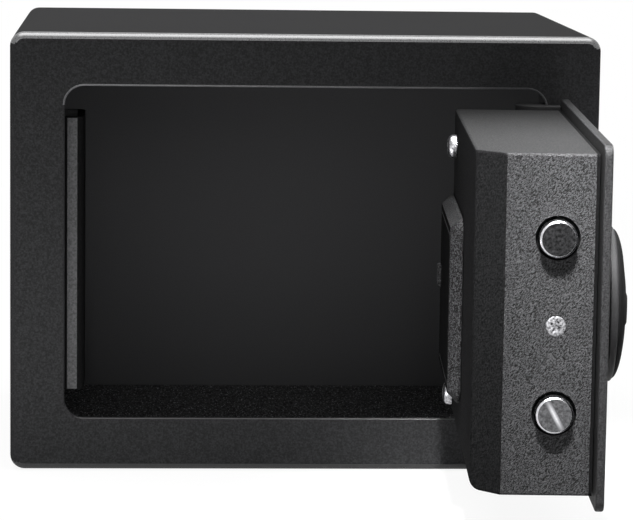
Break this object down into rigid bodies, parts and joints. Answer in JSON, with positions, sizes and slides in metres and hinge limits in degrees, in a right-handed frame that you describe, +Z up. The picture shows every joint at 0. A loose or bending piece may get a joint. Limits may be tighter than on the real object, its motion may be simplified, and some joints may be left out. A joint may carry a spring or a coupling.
{
  "type": "portable car safe",
  "caption": "Small steel safe with a hinged front door, knob-driven round bolts, keypad, key override and battery bay, shown with its door open.",
  "frame": {"origin": "middle of the case's underside", "axes": "+X to the right seen from the front, +Y to the back, +Z up; the door is hinged on the right and stands open at 86.8 degrees"},
  "size_m": [0.23, 0.3526, 0.172],
  "materials": {
    "case_paint": "dark grey powder coat, fine grain",
    "inner_paint": "dark grey powder coat",
    "door_paint": "wrinkled grey powder coat",
    "mat": "short black felt",
    "zinc": "bright zinc plate",
    "chrome": "polished",
    "steel": "plain drawn steel",
    "black_plastic": "fine moulded grain",
    "key_plastic": "satin",
    "board": "solder mask",
    "red_lens": "clear gloss",
    "green_lens": "clear gloss",
    "brass": "turned",
    "cell": "printed sleeve"
  },
  "bodies": {
    "case": {"body_shell": "case_paint", "back_plate": "case_paint", "floor_mat": "mat", "strike_channel": "case_paint", "hinge_bracket_upper": "inner_paint", "hinge_bracket_lower": "inner_paint", "hinge_pin_upper": "zinc", "hinge_pin_lower": "zinc", "hinge_washer_upper": "steel", "hinge_washer_lower": "steel"},
    "door": {"door_plate": "door_paint", "lock_housing": "door_paint", "hinge_arm_upper": "door_paint", "hinge_arm_lower": "door_paint", "housing_post_upper": "zinc", "housing_post_lower": "zinc", "housing_screw_upper": "chrome", "housing_screw_lower": "chrome", "edge_screw": "chrome", "bolt_guide": "zinc", "guide_stud_upper": "zinc", "guide_stud_lower": "zinc", "knob_flange": "black_plastic", "keypad_bezel": "black_plastic", "keypad_board": "board", "key_lock_body": "zinc", "solenoid_body": "steel", "battery_tray": "black_plastic", "battery_contact_near": "zinc", "battery_contact_far": "zinc", "battery_1": "cell", "battery_2": "cell", "battery_3": "cell", "battery_4": "cell", "led_lens_red": "red_lens", "led_lens_green": "green_lens"},
    "knob": {"turn_knob": "black_plastic", "knob_spindle": "steel", "cam_disc": "zinc"},
    "bolts": {"bolt_carrier": "zinc", "bolt_upper": "chrome", "bolt_lower": "chrome"},
    "plunger": {"solenoid_plunger": "zinc"},
    "battery_lid": {"battery_cover": "black_plastic"},
    "lock_plug": {"key_cylinder": "brass"},
    "lock_flap": {"key_flap": "black_plastic"},
    "button_1": {"key_1": "key_plastic"},
    "button_2": {"key_2": "key_plastic"},
    "button_3": {"key_3": "key_plastic"},
    "button_4": {"key_4": "key_plastic"},
    "button_5": {"key_5": "key_plastic"},
    "button_6": {"key_6": "key_plastic"},
    "button_7": {"key_7": "key_plastic"},
    "button_8": {"key_8": "key_plastic"},
    "button_9": {"key_9": "key_plastic"},
    "button_clear": {"key_clear": "key_plastic"},
    "button_0": {"key_0": "key_plastic"},
    "button_enter": {"key_enter": "key_plastic"}
  },
  "joints": [
    {"name": "door_hinge", "type": "hinge", "parent": "case", "child": "door", "pos_m": [0.0985, -0.079, 0], "axis": [0, 0, 1], "range_deg": [-86.8, 3.2]},
    {"name": "knob_turn", "type": "hinge", "parent": "door", "child": "knob", "pos_m": [0.09538, -0.20642, 0.08615], "axis": [0.9984, -0.0558, 0], "range_deg": [0, 90]},
    {"name": "bolt_slide", "type": "slide", "parent": "door", "child": "bolts", "axis": [-0.0558, -0.9984, 0], "range_m": [0, 0.011]},
    {"name": "plunger_slide", "type": "slide", "parent": "door", "child": "plunger", "axis": [0, 0, 1], "range_m": [0, 0.003], "stiffness_N_per_m": 150, "springref_m": -0.002},
    {"name": "battery_cover_hinge", "type": "hinge", "parent": "door", "child": "battery_lid", "pos_m": [0.05202, -0.17946, 0.07835], "axis": [0, 0, 1], "range_deg": [0, 90]},
    {"name": "key_cylinder_turn", "type": "hinge", "parent": "door", "child": "lock_plug", "pos_m": [0.09901, -0.14153, 0.04955], "axis": [0.9984, -0.0558, 0], "range_deg": [0, 90]},
    {"name": "key_flap_swing", "type": "hinge", "parent": "door", "child": "lock_flap", "pos_m": [0.103, -0.14175, 0.06205], "axis": [0.9984, -0.0558, 0], "range_deg": [-90, 90]},
    {"name": "key_1_press", "type": "slide", "parent": "door", "child": "button_1", "axis": [-0.9984, 0.0558, 0], "range_m": [0, 0.001], "stiffness_N_per_m": 400, "springref_m": -0.001},
    {"name": "key_2_press", "type": "slide", "parent": "door", "child": "button_2", "axis": [-0.9984, 0.0558, 0], "range_m": [0, 0.001], "stiffness_N_per_m": 400, "springref_m": -0.001},
    {"name": "key_3_press", "type": "slide", "parent": "door", "child": "button_3", "axis": [-0.9984, 0.0558, 0], "range_m": [0, 0.001], "stiffness_N_per_m": 400, "springref_m": -0.001},
    {"name": "key_4_press", "type": "slide", "parent": "door", "child": "button_4", "axis": [-0.9984, 0.0558, 0], "range_m": [0, 0.001], "stiffness_N_per_m": 400, "springref_m": -0.001},
    {"name": "key_5_press", "type": "slide", "parent": "door", "child": "button_5", "axis": [-0.9984, 0.0558, 0], "range_m": [0, 0.001], "stiffness_N_per_m": 400, "springref_m": -0.001},
    {"name": "key_6_press", "type": "slide", "parent": "door", "child": "button_6", "axis": [-0.9984, 0.0558, 0], "range_m": [0, 0.001], "stiffness_N_per_m": 400, "springref_m": -0.001},
    {"name": "key_7_press", "type": "slide", "parent": "door", "child": "button_7", "axis": [-0.9984, 0.0558, 0], "range_m": [0, 0.001], "stiffness_N_per_m": 400, "springref_m": -0.001},
    {"name": "key_8_press", "type": "slide", "parent": "door", "child": "button_8", "axis": [-0.9984, 0.0558, 0], "range_m": [0, 0.001], "stiffness_N_per_m": 400, "springref_m": -0.001},
    {"name": "key_9_press", "type": "slide", "parent": "door", "child": "button_9", "axis": [-0.9984, 0.0558, 0], "range_m": [0, 0.001], "stiffness_N_per_m": 400, "springref_m": -0.001},
    {"name": "key_clear_press", "type": "slide", "parent": "door", "child": "button_clear", "axis": [-0.9984, 0.0558, 0], "range_m": [0, 0.001], "stiffness_N_per_m": 400, "springref_m": -0.001},
    {"name": "key_0_press", "type": "slide", "parent": "door", "child": "button_0", "axis": [-0.9984, 0.0558, 0], "range_m": [0, 0.001], "stiffness_N_per_m": 400, "springref_m": -0.001},
    {"name": "key_enter_press", "type": "slide", "parent": "door", "child": "button_enter", "axis": [-0.9984, 0.0558, 0], "range_m": [0, 0.001], "stiffness_N_per_m": 400, "springref_m": -0.001}
  ],
  "couplings": [
    {"joint": "knob_turn", "follows": "bolt_slide", "rad_per_m": 142.79}
  ]
}
